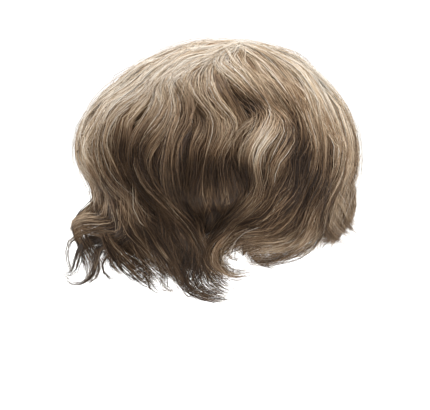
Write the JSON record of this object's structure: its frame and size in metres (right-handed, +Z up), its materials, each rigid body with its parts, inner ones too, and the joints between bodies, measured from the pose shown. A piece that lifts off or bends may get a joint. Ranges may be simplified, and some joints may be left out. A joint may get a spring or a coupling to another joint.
{
  "type": "toupee hairpiece",
  "caption": "Short waved toupee: a thin scalp base under layered ash brown hair that falls over the brow, ears and nape, with a forelock that flips outwards.",
  "frame": {"origin": "Inside top of the scalp base, where the piece sits on the crown of a head.", "axes": "+Z up, the wearer faces -Y, the wearer's left is +X."},
  "size_m": [0.1957, 0.2384, 0.1959],
  "materials": {
    "scalp_base": "fine lace, matte",
    "root_hair": "greying hair, satin",
    "light_hair": "light ash brown hair, satin",
    "brown_hair": "ash brown hair, satin"
  },
  "bodies": {
    "root": {"base": "scalp_base", "crown_whorl": "root_hair", "forelock_curl": "light_hair", "left_ear_sweep": "light_hair", "right_ear_sweep": "light_hair", "brow_fringe": "light_hair", "left_cheek_lock": "brown_hair", "left_temple_lock": "brown_hair", "left_side_wave": "brown_hair", "left_ear_wave": "brown_hair", "left_back_wave": "brown_hair", "nape_lock": "brown_hair", "right_back_wave": "brown_hair", "right_ear_wave": "brown_hair", "right_side_wave": "brown_hair", "right_temple_lock": "brown_hair", "right_cheek_lock": "brown_hair", "right_fringe": "brown_hair"}
  },
  "joints": []
}
